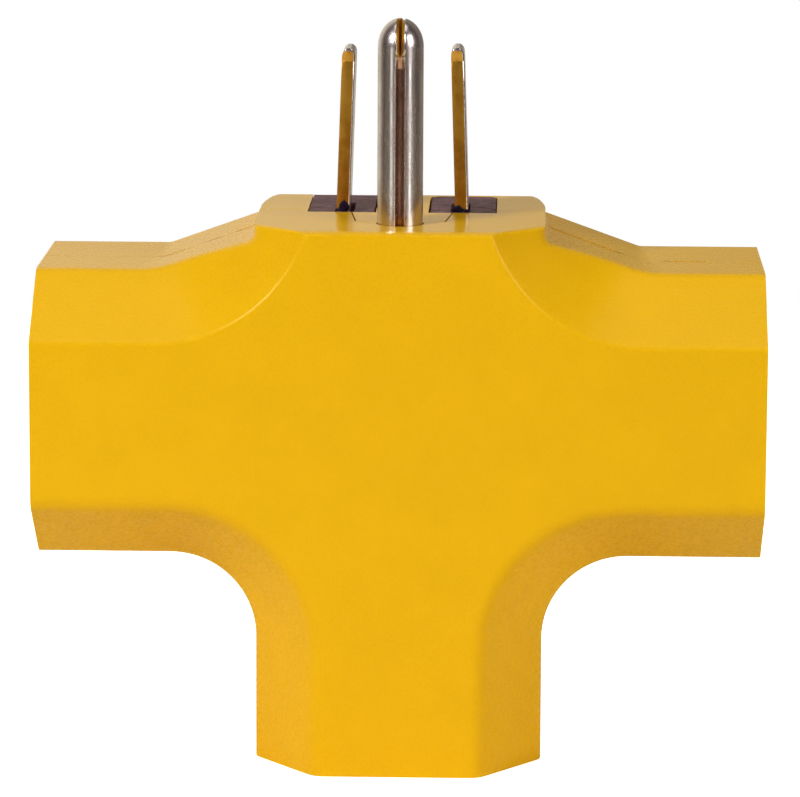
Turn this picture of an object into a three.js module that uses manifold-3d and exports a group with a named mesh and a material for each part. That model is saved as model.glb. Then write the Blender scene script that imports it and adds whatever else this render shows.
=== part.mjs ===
// A three-outlet grounded tap: one plug on top, an outlet at the end of each of the other three arms.
// Millimetres. X runs along the side arms, Y from the front (-) to the back (+), Z up along the blades.
// The origin is the centre of the bottom outlet's face, which the tap stands on.
import * as THREE from "three";
import { mergeVertices } from "three/addons/utils/BufferGeometryUtils.js";
import Module from "manifold-3d";

const wasm = await Module();
wasm.setup();

// Body
const HEIGHT = 58.2; // bottom outlet face to plug face
const HALF_SPAN = 38.5; // centre line to a side outlet's face
const DEPTH = 28.5; // front face to back face
const ARM_WIDTH = 30.6; // across an arm, between its side walls
const ARM_TOP = 52.9; // top wall of a side arm
const PLUG_WIDTH = 30.6; // across the plug block
const BEVEL_INSET = 6.6; // how far the front face stands in from the side walls
const BEVEL_DEPTH = 8.3; // front face to the line where the bevel meets the side walls
const PLUG_STEEPNESS = 0.97; // the bevel's rise over its run beside the plug block
const LOWER_FILLET = 9.1; // side wall's radius between a side arm and the bottom arm
const UPPER_SWEEP = 16.8; // front face's radius between a side arm and the plug block
const KINK_X = 25.65; // where a side arm's top wall starts to rise to the plug block
const KINK_SLOPE = THREE.MathUtils.degToRad(19.7);
const LIP = 0.9; // bevel left where the front face's sweep meets the plug face
const CORNER_INSET = 1.1; // how far the plug block's rear corners turn in
const CORNER_DEPTH = 8.5; // and over what depth
const SEAM_Y = 2.65; // parting plane of the two shells
const WALL = 2.2;
const PLUG_WALL = 3; // shell's thickness at the plug face
const GAP = 0.1; // between pieces that touch

// Plug and outlets, NEMA 5-15
const BLADE_Y = DEPTH / 2 - 9.5;
const BLADE_PITCH = 12.7; // between the blades' centre planes
const BLADE_THICK = 1.46;
const BLADE_WIDTH = 6.35;
const BLADE_LENGTH = 17.6;
const BLADE_TOE_IN = 0.58; // each blade's lean at its tip
const PIN_OFFSET = 11.9; // blades' plane to the pin's axis
const PIN_RADIUS = 2.4;
const PIN_LENGTH = 21.6;
const SLOT_THICK = 2;
const HOT_SLOT = 7.1;
const NEUTRAL_SLOT = 8.4;
const GROUND_HOLE_RADIUS = 2.7;

// Brass strips, and the layers that they run in
const STRIP = 0.8;
const CLIP = 0.6;
const RIVET_RADIUS = 0.95;
const RIVET_HEAD_RADIUS = 1.7;
const RIVET_HEAD = 0.45;
const BLADE_RIVET_RADIUS = 1.2;
const RIVET_PLAY = 0.05; // round a rivet's shank
const HOT_STRIP_Y = 10.3; // front side of the hot strip
const NEUTRAL_STRIP_Y = -1.4; // back side of the neutral strip
const GROUND_STRIP_Y = -10.75; // back side of the ground strap
const BLOCK_LENGTH = 13; // an outlet block, along its arm
const FACE_PLATE = 3;
const CLIP_FROM = 4;
const CLIP_TO = 11.5;
const TONGUE_TO = 15.6;
const RIVET_AT = 13.5;
const LIMB = 5; // a strip's width
const LIMB_END = CLIP_FROM + 1; // a limb's end, from its outlet's face
const TAB = 2.6; // half height of the tabs that the blades are riveted to

// Derived
const HALF_DEPTH = DEPTH / 2;
const SHOULDER_Y = BEVEL_DEPTH - HALF_DEPTH;
const ARM_CENTRE = ARM_TOP - ARM_WIDTH / 2;
const ARM_BOTTOM = ARM_TOP - ARM_WIDTH;
const BLADE_X = BLADE_PITCH / 2;
const PIN_Y = BLADE_Y - PIN_OFFSET;
const PIN_TOP = HEIGHT + PIN_LENGTH;
const PIN_TAB_Z = HEIGHT - 8.2; // underside of the ground strap's tab
const BLADE_RIVET_Z = HEIGHT - 8.7;
const BEVEL_TILT = Math.atan2(BEVEL_INSET, BEVEL_DEPTH);

function material(color, roughness, metalness = 0) {
  return new THREE.MeshStandardMaterial({ color, roughness, metalness });
}

const YELLOW = material(0xedb51a, 0.5);
const BROWN = material(0x5f4648, 0.55);
const BRASS = material(0xb08d4a, 0.35, 1);
const NICKEL = material(0xb9b0a6, 0.3, 1);
const FIBRE = material(0x6b6f70, 0.8);

// ---- Geometry helpers ----

// A geometry as a manifold solid, and back.
function solid(geometry) {
  const bare = geometry.index ? geometry.toNonIndexed() : geometry.clone();
  bare.deleteAttribute("normal");
  bare.deleteAttribute("uv");
  const merged = mergeVertices(bare, 1e-4);
  const mesh = { numProp: 3, vertProperties: merged.attributes.position.array };
  return new wasm.Manifold(new wasm.Mesh({ ...mesh, triVerts: new Uint32Array(merged.index.array) }));
}

function geometryOf(made) {
  const mesh = made.getMesh();
  const geometry = new THREE.BufferGeometry();
  geometry.setAttribute("position", new THREE.BufferAttribute(mesh.vertProperties, 3));
  geometry.setIndex(new THREE.BufferAttribute(mesh.triVerts, 1));
  geometry.computeVertexNormals();
  return geometry;
}

const join = (...solids) => solids.reduce((all, next) => all.add(next));
const cut = (whole, ...tools) => tools.reduce((left, tool) => left.subtract(tool), whole);

// A box between two corners.
function box(x0, y0, z0, x1, y1, z1) {
  const geometry = new THREE.BoxGeometry(x1 - x0, y1 - y0, z1 - z0);
  return solid(geometry.translate((x0 + x1) / 2, (y0 + y1) / 2, (z0 + z1) / 2));
}

const vectors = (points) => points.map(([a, b]) => new THREE.Vector2(a, b));

// A closed outline of points, extruded along +Z.
function extruded(points, depth) {
  return new THREE.ExtrudeGeometry(new THREE.Shape(vectors(points)), { depth, bevelEnabled: false });
}

// A shape drawn in X and Y, extruded up from z0 to z1.
function slabXY(points, z0, z1) {
  return solid(extruded(points, z1 - z0).translate(0, 0, z0));
}

// A shape drawn in X and Z, extruded from y0 back to y1.
function slabXZ(points, y0, y1) {
  return solid(extruded(points, y1 - y0).rotateX(Math.PI / 2).translate(0, y1, 0));
}

// A shape drawn in Y and Z, extruded from x0 to x1.
function slabYZ(points, x0, x1) {
  return solid(extruded(points, x1 - x0).rotateZ(Math.PI / 2).rotateY(Math.PI / 2).translate(x0, 0, 0));
}

// A round rod along an axis ("x", "y" or "z"), from one point for a length.
function rod(axis, radius, [x, y, z], length, segments = 20) {
  const geometry = new THREE.CylinderGeometry(radius, radius, length, segments).translate(0, length / 2, 0);
  if (axis === "z") geometry.rotateX(Math.PI / 2);
  if (axis === "x") geometry.rotateZ(-Math.PI / 2);
  return solid(geometry.translate(x, y, z));
}

// A profile of [radius, height] turned about +Y.
const turned = (profile, segments) => new THREE.LatheGeometry(vectors(profile), segments);

// A closed skin through matching rings of [x, y, z], from the back ring to the front one.
function loft(rings) {
  const count = rings[0].length;
  const faces = [];
  for (let ring = 0; ring + 1 < rings.length; ring++) {
    for (let i = 0; i < count; i++) {
      const [a, b] = [ring * count + i, ring * count + ((i + 1) % count)];
      faces.push(a, b, a + count, b, b + count, a + count);
    }
  }
  const capOf = (ring) => THREE.ShapeUtils.triangulateShape(vectors(ring.map(([x, , z]) => [x, z])), []);
  const last = (rings.length - 1) * count;
  for (const [a, b, c] of capOf(rings[0])) faces.push(a, c, b);
  for (const [a, b, c] of capOf(rings[rings.length - 1])) faces.push(last + a, last + b, last + c);
  const geometry = new THREE.BufferGeometry();
  geometry.setAttribute("position", new THREE.Float32BufferAttribute(rings.flat(2), 3));
  geometry.setIndex(faces);
  return solid(geometry);
}

// ---- Body outline ----

// Points of an arc about (cx, cz), from one angle to another in degrees.
function arc(cx, cz, radius, from, to, steps) {
  return Array.from({ length: steps + 1 }, (_, i) => {
    const angle = THREE.MathUtils.degToRad(from + ((to - from) * i) / steps);
    return [cx + radius * Math.cos(angle), cz + radius * Math.sin(angle)];
  });
}

// Points between two, both ends included.
function line([x0, z0], [x1, z1], steps) {
  const at = (share) => [x0 + (x1 - x0) * share, z0 + (z1 - z0) * share];
  return Array.from({ length: steps + 1 }, (_, i) => at(i / steps));
}

const SIDE_STEPS = 2; // up the plug block's side
const SLANT_STEPS = 9; // along the rise from a side arm to the plug block
const RIM_STEPS = 6; // along the plug face, from its side to the front face
const FILLET_STEPS = 10;
const LOWER_CENTRE = [ARM_WIDTH / 2 + LOWER_FILLET, ARM_BOTTOM - LOWER_FILLET];
const UPPER_CENTRE = [KINK_X, ARM_CENTRE + ARM_WIDTH / 2 - BEVEL_INSET + UPPER_SWEEP];

// A right half's points, made into the closed outline, anticlockwise seen from the front.
const mirrored = (half) => [...half, ...half.map(([x, z]) => [-x, z]).reverse()];

// How far the front face's outline moves in when the body is set in by a wall.
const faceInsetOf = (wall) => wall * Math.tan((Math.PI / 2 - BEVEL_TILT) / 2);

// The side walls' outline, set in by the wall; ends gives where the arms and the plug block stop.
// tuck narrows the plug block alone.
function wallOutline(wall, { span, top, bottom }, tuck = 0) {
  const slantAt = (x) => ARM_TOP + (KINK_X - x) * Math.tan(KINK_SLOPE) - wall / Math.cos(KINK_SLOPE);
  const side = PLUG_WIDTH / 2 - wall - tuck;
  const kink = [KINK_X - wall * Math.tan(KINK_SLOPE / 2), ARM_TOP - wall];
  const foot = [side, slantAt(side)];
  const sweep = UPPER_SWEEP + faceInsetOf(wall) - LIP;
  const rim = UPPER_CENTRE[0] - Math.sqrt(sweep ** 2 - (UPPER_CENTRE[1] - top) ** 2);
  return mirrored([
    [ARM_WIDTH / 2 - wall, bottom],
    ...arc(...LOWER_CENTRE, LOWER_FILLET + wall, 180, 90, FILLET_STEPS),
    [span, ARM_BOTTOM + wall],
    [span, ARM_TOP - wall],
    ...line(kink, foot, SLANT_STEPS),
    ...line(foot, [side, top], SIDE_STEPS).slice(1),
    ...line([side, top], [rim, top], RIM_STEPS).slice(1),
  ]);
}

// The point of the front face's outline nearest a point of the side walls' outline.
function footOf([x, z], wall) {
  const side = Math.sign(x);
  const across = Math.abs(x);
  const half = ARM_WIDTH / 2 - BEVEL_INSET - faceInsetOf(wall);
  const upper = z > ARM_CENTRE;
  const [cx, cz] = upper ? UPPER_CENTRE : LOWER_CENTRE;
  if (across >= cx) return [x, ARM_CENTRE + (upper ? half : -half)];
  if (!upper && z <= cz) return [side * half, z];
  const radius = (upper ? UPPER_SWEEP : LOWER_FILLET + BEVEL_INSET) + faceInsetOf(wall);
  const scale = radius / Math.hypot(across - cx, z - cz);
  return [side * (cx + (across - cx) * scale), cz + (z - cz) * scale];
}

const ENDS = { span: HALF_SPAN, top: HEIGHT, bottom: 0 };
const OPEN_ENDS = { span: HALF_SPAN + 1, top: HEIGHT - PLUG_WALL, bottom: -1 };

// The bevel's rise over its run: the arms' own, easing to a steeper one beside the plug block.
function bevelRise([x, z]) {
  const share = (KINK_X - Math.abs(x)) / (KINK_X - PLUG_WIDTH / 2);
  const eased = z < ARM_CENTRE ? 0 : THREE.MathUtils.smoothstep(share, 0, 1);
  return THREE.MathUtils.lerp(BEVEL_DEPTH / BEVEL_INSET, PLUG_STEEPNESS, eased);
}

// The body as a solid, set in by a wall.
function body(wall, ends) {
  const [front, back] = [wall - HALF_DEPTH, HALF_DEPTH - wall];
  const outline = wallOutline(wall, ends);
  const feet = outline.map((point) => footOf(point, wall));
  const rise = ([x, z], [footX, footZ]) => Math.hypot(x - footX, z - footZ) * bevelRise([x, z]);
  const tuck = wall ? 0 : CORNER_INSET;
  const corners = [0, 0.25, 0.5, 0.75, 1].map((share) => {
    const points = wallOutline(wall, ends, tuck * (1 - share) ** 1.6);
    return points.map(([x, z]) => [x, back - share * CORNER_DEPTH, z]);
  });
  return loft([
    ...corners,
    outline.map((point, i) => [point[0], front + rise(point, feet[i]), point[1]]),
    feet.map(([x, z]) => [x, front, z]),
  ]);
}

// An arm's section in X and Y, set in by a wall, for the bottom arm.
function armSection(wall) {
  const half = ARM_WIDTH / 2 - wall;
  const flat = ARM_WIDTH / 2 - BEVEL_INSET - faceInsetOf(wall);
  const shoulder = SHOULDER_Y + wall * Math.tan(BEVEL_TILT / 2);
  const [back, front] = [HALF_DEPTH - wall, wall - HALF_DEPTH];
  return [[half, shoulder], [half, back], [-half, back], [-half, shoulder], [-flat, front], [flat, front]];
}

// ---- Outlets: drawn for the bottom arm, with Z running inwards from the face ----

const OUTLETS = [
  { side: "bottom", at: [0, 0, 0], turn: 0 },
  { side: "left", at: [-HALF_SPAN, 0, ARM_CENTRE], turn: Math.PI / 2 },
  { side: "right", at: [HALF_SPAN, 0, ARM_CENTRE], turn: -Math.PI / 2 },
];
const GROOVE_FROM = 5;
const GROOVE_TO = 7;
const RIB = 0.9;

// The groove in the shells that holds each outlet block's rib.
function grooves() {
  const groove = geometryOf(slabXY(armSection(WALL - RIB - GAP), GROOVE_FROM - GAP, GROOVE_TO + GAP));
  return OUTLETS.map(({ at, turn }) => solid(groove.clone().rotateY(turn).translate(...at)));
}

function groundHole() {
  const [radius, flat] = [GROUND_HOLE_RADIUS, PIN_Y + 2.6];
  const round = arc(0, PIN_Y, radius, 180, 360, 20);
  return slabXY([[radius, flat], [-radius, flat], ...round], -1, FACE_PLATE + 1);
}

function outletBlock() {
  const shell = slabXY(armSection(WALL + GAP), 0, BLOCK_LENGTH);
  const rib = slabXY(armSection(WALL - RIB), GROOVE_FROM, GROOVE_TO);
  const slot = (x, width) => {
    const [across, along] = [SLOT_THICK / 2, width / 2];
    return box(x - across, BLADE_Y - along, -1, x + across, BLADE_Y + along, FACE_PLATE + 1);
  };
  const chamber = (x, y0, y1, half) => box(x - half, y0, FACE_PLATE, x + half, y1, BLOCK_LENGTH + 1);
  return cut(
    join(shell, rib),
    slot(-BLADE_X, HOT_SLOT),
    slot(BLADE_X, NEUTRAL_SLOT),
    groundHole(),
    chamber(-BLADE_X, 0.2, HALF_DEPTH, 3.1),
    chamber(BLADE_X, -2.95, 9.3, 3.1),
    chamber(0, -HALF_DEPTH, PIN_Y + 2.75, 3.6),
  );
}

const GRIP_SHARE = 0.62; // how far up its legs a clip grips

// A spring clip: a U that opens along +Y from a base, wide at its mouth, then closing to a grip.
// half gives the legs' half gaps at the root, the grip and the tip; reach is the legs' height.
function clip(half, reach) {
  const [root, grip, tip] = half;
  const gripAt = reach * GRIP_SHARE;
  const inside = [[root, CLIP], [grip, gripAt], [tip, reach]];
  const outside = [[tip + CLIP, reach], [grip + CLIP, gripAt], [root + CLIP, 0]];
  const left = [...inside].reverse().map(([x, y]) => [-x, y]);
  const right = [...outside].reverse().map(([x, y]) => [-x, y]);
  const legs = slabXY([...outside, ...right, ...left, ...inside], CLIP_FROM, CLIP_TO);
  const tongue = box(-root - CLIP, 0, CLIP_FROM, root + CLIP, CLIP, TONGUE_TO);
  return cut(join(legs, tongue), rod("y", RIVET_RADIUS + RIVET_PLAY, [0, -1, RIVET_AT], 3));
}

// Turned half a turn about Z, a clip opens along -Y.
const clipAt = (made, x, y, turned = false) =>
  solid(geometryOf(made).rotateZ(turned ? Math.PI : 0).translate(x, y, 0));

// A rivet's first head, repeated at the other end of its length.
const bothEnds = (head, length) => [...head, ...[...head].reverse().map(([r, h]) => [r, length - h])];

// A rivet along Y through a strip and a tongue, headed on both sides.
function rivet(x, y0, y1) {
  const head = [[0, -RIVET_HEAD], [RIVET_HEAD_RADIUS * 0.7, -RIVET_HEAD], [RIVET_HEAD_RADIUS, 0]];
  return solid(turned(bothEnds([...head, [RIVET_RADIUS, 0]], y1 - y0), 16).translate(x, y0, RIVET_AT));
}

const PLAY = 0.04; // between a clip's base and its strip
const SIDE_CLIP = [1.1, 0.62, 1.7];
const PIN_CLIP = [2.5, 2.12, 2.9];

function outletPieces(side) {
  const hotBase = HOT_STRIP_Y - PLAY;
  const neutralBase = NEUTRAL_STRIP_Y + PLAY;
  const groundBase = GROUND_STRIP_Y + PLAY;
  const hotTop = hotBase + STRIP + 2 * PLAY;
  const neutralTop = neutralBase + CLIP + PLAY;
  const groundTop = groundBase + CLIP + PLAY;
  return [
    [`outlet_block_${side}`, outletBlock(), YELLOW],
    [`hot_clip_${side}`, clipAt(clip(SIDE_CLIP, 8.6), -BLADE_X, hotBase, true), BRASS],
    [`neutral_clip_${side}`, clipAt(clip(SIDE_CLIP, 9.6), BLADE_X, neutralBase), BRASS],
    [`ground_clip_${side}`, clipAt(clip(PIN_CLIP, 5.8), 0, groundBase), BRASS],
    [`hot_rivet_${side}`, rivet(-BLADE_X, hotBase - CLIP - PLAY, hotTop), NICKEL],
    [`neutral_rivet_${side}`, rivet(BLADE_X, NEUTRAL_STRIP_Y - STRIP - PLAY, neutralTop), NICKEL],
    [`ground_rivet_${side}`, rivet(0, GROUND_STRIP_Y - STRIP - PLAY, groundTop), NICKEL],
  ];
}

// ---- Plug ----

const HOLDER_TOP = HEIGHT - PLUG_WALL - GAP;
const HOLDER_BOTTOM = HEIGHT - 6;
const HOLDER_FRONT = BLADE_Y - 4.15;
const TAIL_BOTTOM = HEIGHT - 11.7;
const WINDOW_INNER = 2.9;
const WINDOW_OUTER = 10.1;
const WINDOW_FRONT = BLADE_Y - 3.9;
const NOTCH_DEPTH = 2.5; // how far the left window comes down the back face
const WINDOW_RIM = 0.8; // wall left behind the right window
const WINDOW_CORNER = 0.7;
const BRIDGE_BACK = 5.4;
const BRIDGE_FRONT = 4.75;
const BRIDGE_FRONT_Y = PIN_Y + 1.45;
const BRIDGE_NOSE = 2.1; // half width where the bridge meets the pin's hole

// The left window in the plug face, which comes out at the back.
function leftWindow(play, back, z0, z1) {
  return box(play - WINDOW_OUTER, WINDOW_FRONT + play, z0, -WINDOW_INNER - play, back, z1);
}

// The right window, closed behind and with its rear corners cut.
function rightWindow(play, back, z0, z1) {
  const [inner, outer, front] = [WINDOW_INNER + play, WINDOW_OUTER - play, WINDOW_FRONT + play];
  const [from, to, side] = [inner + WINDOW_CORNER, outer - WINDOW_CORNER, back - WINDOW_CORNER];
  const plan = [[inner, front], [outer, front], [outer, side], [to, back], [from, back], [inner, side]];
  return slabXY(plan, z0, z1);
}

// The bridge round the ground pin and back between the windows, made smaller by play.
function bridgeNose(play, y1, z0, z1) {
  const [strip, back, front] = [WINDOW_INNER - play, BRIDGE_BACK - play, BRIDGE_FRONT - play];
  const shoulder = WINDOW_FRONT - play;
  const nose = [BRIDGE_NOSE, PIN_Y + 0.2 + play];
  const half = [nose, [front, BRIDGE_FRONT_Y + play], [back, shoulder], [strip, shoulder], [strip, y1]];
  return slabXY([...half, ...half.map(([x, y]) => [-x, y]).reverse()], z0, z1);
}

const pinHole = (play) => rod("z", PIN_RADIUS + play, [0, PIN_Y, HOLDER_BOTTOM - 1], PIN_LENGTH, 32);

// What the shells leave open in the plug face.
function plugOpening() {
  const notchFloor = HEIGHT - NOTCH_DEPTH;
  return join(
    leftWindow(0, HALF_DEPTH + 1, notchFloor, HEIGHT + 1),
    leftWindow(0, HALF_DEPTH - WALL, HOLDER_TOP, HEIGHT + 1),
    rightWindow(0, HALF_DEPTH - WINDOW_RIM, notchFloor, HEIGHT + 1),
    rightWindow(0, HALF_DEPTH - WALL, HOLDER_TOP, HEIGHT + 1),
    bridgeNose(0, HALF_DEPTH - WALL, HOLDER_TOP, HEIGHT + 1),
    pinHole(0.15),
  );
}

// A blade drawn upright on X = 0: its side view in Y and Z, thinned to the tip and leaning by lean.
function blade(lean) {
  const [half, tail, tip] = [BLADE_WIDTH / 2, 4.1, HEIGHT + BLADE_LENGTH];
  const corner = 1.1;
  const side = [
    [BLADE_Y - tail, TAIL_BOTTOM],
    [BLADE_Y + tail, TAIL_BOTTOM],
    [BLADE_Y + tail, HOLDER_BOTTOM - GAP],
    [BLADE_Y + half, HOLDER_BOTTOM - GAP],
    [BLADE_Y + half, tip - corner],
    [BLADE_Y + half - corner, tip],
    [BLADE_Y - half + corner, tip],
    [BLADE_Y - half, tip - corner],
    [BLADE_Y - half, HOLDER_BOTTOM - GAP],
    [BLADE_Y - tail, HOLDER_BOTTOM - GAP],
  ];
  const [t, nose, taper] = [BLADE_THICK / 2, 0.3, 1.3];
  const leanAt = (z) => (lean * (z - HEIGHT)) / BLADE_LENGTH;
  const front = [
    [t, TAIL_BOTTOM],
    [t, HEIGHT],
    [t + leanAt(tip - taper), tip - taper],
    [nose + lean, tip],
    [lean - nose, tip],
    [leanAt(tip - taper) - t, tip - taper],
    [-t, HEIGHT],
    [-t, TAIL_BOTTOM],
  ];
  const made = slabYZ(side, -2, 2).intersect(slabXZ(front, -HALF_DEPTH, HALF_DEPTH));
  return cut(made, rod("x", BLADE_RIVET_RADIUS + RIVET_PLAY, [-2, BLADE_Y, BLADE_RIVET_Z], 4));
}

// The ground pin, rolled from sheet: hollow, with a seam down its front that opens at the tip.
function groundPin() {
  const [dome, sheet, head, neck, collar] = [3, 0.85, 2.2, 1.4, 3.4];
  const rounded = arc(0, 0, 1, 0, 90, 8).map(([r, h]) => [PIN_RADIUS * r, PIN_TOP - dome + dome * h]);
  const profile = [
    [0, PIN_TAB_Z - 1.2],
    [head, PIN_TAB_Z - 1.2],
    [head, PIN_TAB_Z - GAP],
    [neck, PIN_TAB_Z - GAP],
    [neck, PIN_TAB_Z + STRIP + GAP],
    [collar, PIN_TAB_Z + STRIP + GAP],
    [collar, HOLDER_BOTTOM - GAP],
    [PIN_RADIUS, HOLDER_BOTTOM - GAP],
    ...rounded.slice(0, -1),
    [0, PIN_TOP],
  ];
  const upright = solid(turned(profile, 32).rotateX(Math.PI / 2));
  const depth = PIN_TOP - 2 * sheet - HOLDER_BOTTOM;
  const hollow = rod("z", PIN_RADIUS - sheet, [0, 0, HOLDER_BOTTOM], depth, 24);
  const seam = (half, z0, z1) => box(-half, -PIN_RADIUS - 1, z0, half, 0, z1);
  const closed = seam(0.1, HOLDER_BOTTOM, PIN_TOP - 3);
  const open = seam(0.26, PIN_TOP - 3.8, PIN_TOP + 1);
  return cut(upright, hollow, closed, open).translate([0, PIN_Y, 0]);
}

// ---- Strips that feed the three outlets ----

// Bars of a hot or neutral strip for side -1 (hot) or 1 (neutral), from y0 to y1, with its blade's tab.
function liveStrip(side, y0, y1) {
  const near = ARM_CENTRE + BLADE_X; // the limb on the strip's own side
  const far = ARM_CENTRE - BLADE_X;
  const reach = HALF_SPAN - LIMB_END;
  const bar = (x0, z0, x1, z1) => box(Math.min(x0, x1), y0, z0, Math.max(x0, x1), y1, z1);
  const upright = side * BLADE_X;
  const tabInner = side * (BLADE_X + BLADE_THICK / 2 + PLAY);
  const tabOuter = tabInner + side * STRIP;
  const tabY = side < 0 ? [BLADE_Y - TAB, y1] : [y0, BLADE_Y + TAB];
  const tabEdge = [Math.min(tabInner, tabOuter), Math.max(tabInner, tabOuter)];
  const made = join(
    bar(upright - LIMB / 2, LIMB_END, upright + LIMB / 2, BLADE_RIVET_Z + TAB),
    bar(upright, near - LIMB / 2, side * reach, near + LIMB / 2),
    bar(upright, far - LIMB / 2, -side * reach, far + LIMB / 2),
    box(tabEdge[0], tabY[0], BLADE_RIVET_Z - TAB, tabEdge[1], tabY[1], BLADE_RIVET_Z + TAB),
  );
  const hole = (x, z) => rod("y", RIVET_RADIUS + RIVET_PLAY, [x, y0 - 1, z], STRIP + 2);
  return cut(
    made,
    hole(upright, RIVET_AT),
    hole(side * (HALF_SPAN - RIVET_AT), near),
    hole(-side * (HALF_SPAN - RIVET_AT), far),
    rod("x", BLADE_RIVET_RADIUS + RIVET_PLAY, [tabEdge[0] - 1, BLADE_Y, BLADE_RIVET_Z], STRIP + 2),
  );
}

function groundStrip() {
  const [y0, y1] = [GROUND_STRIP_Y - STRIP, GROUND_STRIP_Y];
  const reach = HALF_SPAN - LIMB_END;
  const half = 3;
  const hole = (x, z) => rod("y", RIVET_RADIUS + RIVET_PLAY, [x, y0 - 1, z], STRIP + 2);
  return cut(
    join(
      box(-half, y0, LIMB_END, half, y1, PIN_TAB_Z + STRIP),
      box(-reach, y0, ARM_CENTRE - half, reach, y1, ARM_CENTRE + half),
      box(-half, y0, PIN_TAB_Z, half, PIN_Y + 3, PIN_TAB_Z + STRIP),
    ),
    hole(0, RIVET_AT),
    hole(HALF_SPAN - RIVET_AT, ARM_CENTRE),
    hole(RIVET_AT - HALF_SPAN, ARM_CENTRE),
    rod("z", 1.5, [0, PIN_Y, PIN_TAB_Z - 1], STRIP + 2),
  );
}

// The rivet through a blade's tail and its strip's tab.
function bladeRivet(side) {
  const inner = BLADE_X - BLADE_THICK / 2 - GAP;
  const outer = BLADE_X + BLADE_THICK / 2 + PLAY + STRIP + GAP;
  const head = [[0, -0.6], [1.5, -0.6], [2.1, 0], [BLADE_RIVET_RADIUS, 0]];
  const made = turned(bothEnds(head, outer - inner), 20).rotateZ(-Math.PI / 2);
  return solid(made.translate(side < 0 ? -outer : inner, BLADE_Y, BLADE_RIVET_Z));
}

// ---- Insulators ----

// Dark block that holds the blades, seen flush in the two windows of the plug face.
function bladeHolder() {
  const flange = box(-12.8, HOLDER_FRONT, HOLDER_BOTTOM, 12.8, HALF_DEPTH - WALL - GAP, HOLDER_TOP);
  const [foot, step, wall] = [HOLDER_BOTTOM + 1, HEIGHT - NOTCH_DEPTH + GAP, HALF_DEPTH - WALL - GAP];
  const leftBack = HALF_DEPTH - GAP;
  const rightBack = HALF_DEPTH - WINDOW_RIM - GAP;
  const leftPost = join(leftWindow(GAP, wall, foot, HEIGHT), leftWindow(GAP, leftBack, step, HEIGHT));
  const rightPost = join(rightWindow(GAP, wall, foot, HEIGHT), rightWindow(GAP, rightBack, step, HEIGHT));
  const [inner, outer, half] = [BLADE_THICK / 2 + 0.45, BLADE_THICK / 2 + 0.12, BLADE_WIDTH / 2 + 0.12];
  const slot = (side) => {
    const edges = [side * (BLADE_X - inner), side * (BLADE_X + outer)];
    const front = BLADE_Y - half - 0.2;
    return box(Math.min(...edges), front, HOLDER_BOTTOM - 1, Math.max(...edges), BLADE_Y + half, HEIGHT + 1);
  };
  return cut(join(flange, leftPost, rightPost), slot(1), slot(-1));
}

// Yellow insert that guides the ground pin and closes the face between the windows.
function pinBridge() {
  const flange = box(-8.4, PIN_Y - 3.4, HOLDER_BOTTOM, 8.4, 1, HOLDER_TOP);
  const nose = bridgeNose(GAP, HALF_DEPTH - WALL - GAP, HOLDER_TOP - 1, HEIGHT);
  const overHolder = box(-9, HOLDER_FRONT - GAP, HOLDER_BOTTOM - 1, 9, HALF_DEPTH, HOLDER_TOP + GAP);
  return cut(join(flange, nose), overHolder, pinHole(0.12));
}

// Locating bosses in X and Z, and the radius kept clear round them.
const BOSSES = [[17, ARM_BOTTOM + 2.7], [17, ARM_TOP - 4.1]].flatMap(([x, z]) => [[x, z], [-x, z]]);
const BOSS_RADIUS = 2.1;
const BOSS_CLEAR = 2.4;
const SOCKET_Y = -5.1; // where the front shell's sockets meet the rear shell's posts

// Dark cross-shaped spacer between the hot strip behind it and the neutral strip in front.
function stripCarrier() {
  const [y0, y1] = [NEUTRAL_STRIP_Y + GAP, HOT_STRIP_Y - GAP];
  const made = join(
    box(-19.5, y0, ARM_BOTTOM + WALL + 0.4, 19.5, y1, TAIL_BOTTOM - 0.6),
    box(-12.4, y0, 19, 12.4, y1, ARM_BOTTOM + WALL + 1),
  );
  const pocket = (x0, z0, x1, z1) => box(x0, y0 + 2, z0, x1, y1 + 1, z1);
  return cut(
    made,
    ...BOSSES.map(([x, z]) => rod("y", BOSS_CLEAR, [x, y0 - 1, z], y1 - y0 + 2)),
    pocket(-2.6, 28, 2.6, 42),
    pocket(10.2, 36, 17.6, 44.4),
    pocket(-17.6, 34.6, -10.2, 39.6),
  );
}

// Fibre sheet between the live strips and the ground strap.
function fibreBarrier() {
  const [y0, y1] = [-3.9, -3.1];
  const edge = HALF_SPAN - BLOCK_LENGTH - 0.4;
  const made = join(
    box(-edge, y0, ARM_BOTTOM + WALL + 1, edge, y1, TAIL_BOTTOM + 2.5),
    box(-11.8, y0, BLOCK_LENGTH + 0.4, 11.8, y1, ARM_BOTTOM + WALL + 2),
  );
  return cut(made, ...BOSSES.map(([x, z]) => rod("y", BOSS_CLEAR, [x, y0 - 1, z], 3)));
}

// ---- Shells ----

const hollowBody = cut(body(0, ENDS), body(WALL, OPEN_ENDS), ...grooves(), plugOpening());

function frontShell() {
  const half = hollowBody.subtract(box(-60, SEAM_Y - GAP / 2, -5, 60, 40, 90));
  const inner = WALL - HALF_DEPTH - 0.5;
  const sockets = BOSSES.map(([x, z]) => rod("y", BOSS_RADIUS, [x, inner, z], SOCKET_Y - inner));
  const holes = BOSSES.map(([x, z]) => rod("y", 1.15, [x, SOCKET_Y - 2, z], 3));
  return cut(join(half, ...sockets.map((made) => made.intersect(body(0.5, ENDS)))), ...holes);
}

function rearShell() {
  const half = hollowBody.subtract(box(-60, -40, -5, 60, SEAM_Y + GAP / 2, 90));
  const top = HALF_DEPTH - WALL + 0.5;
  const from = SOCKET_Y + GAP;
  const posts = BOSSES.map(([x, z]) => rod("y", BOSS_RADIUS, [x, from, z], top - from));
  const pegs = BOSSES.map(([x, z]) => rod("y", 1, [x, SOCKET_Y - 1.8, z], 3));
  return join(half, ...posts, ...pegs);
}

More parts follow.
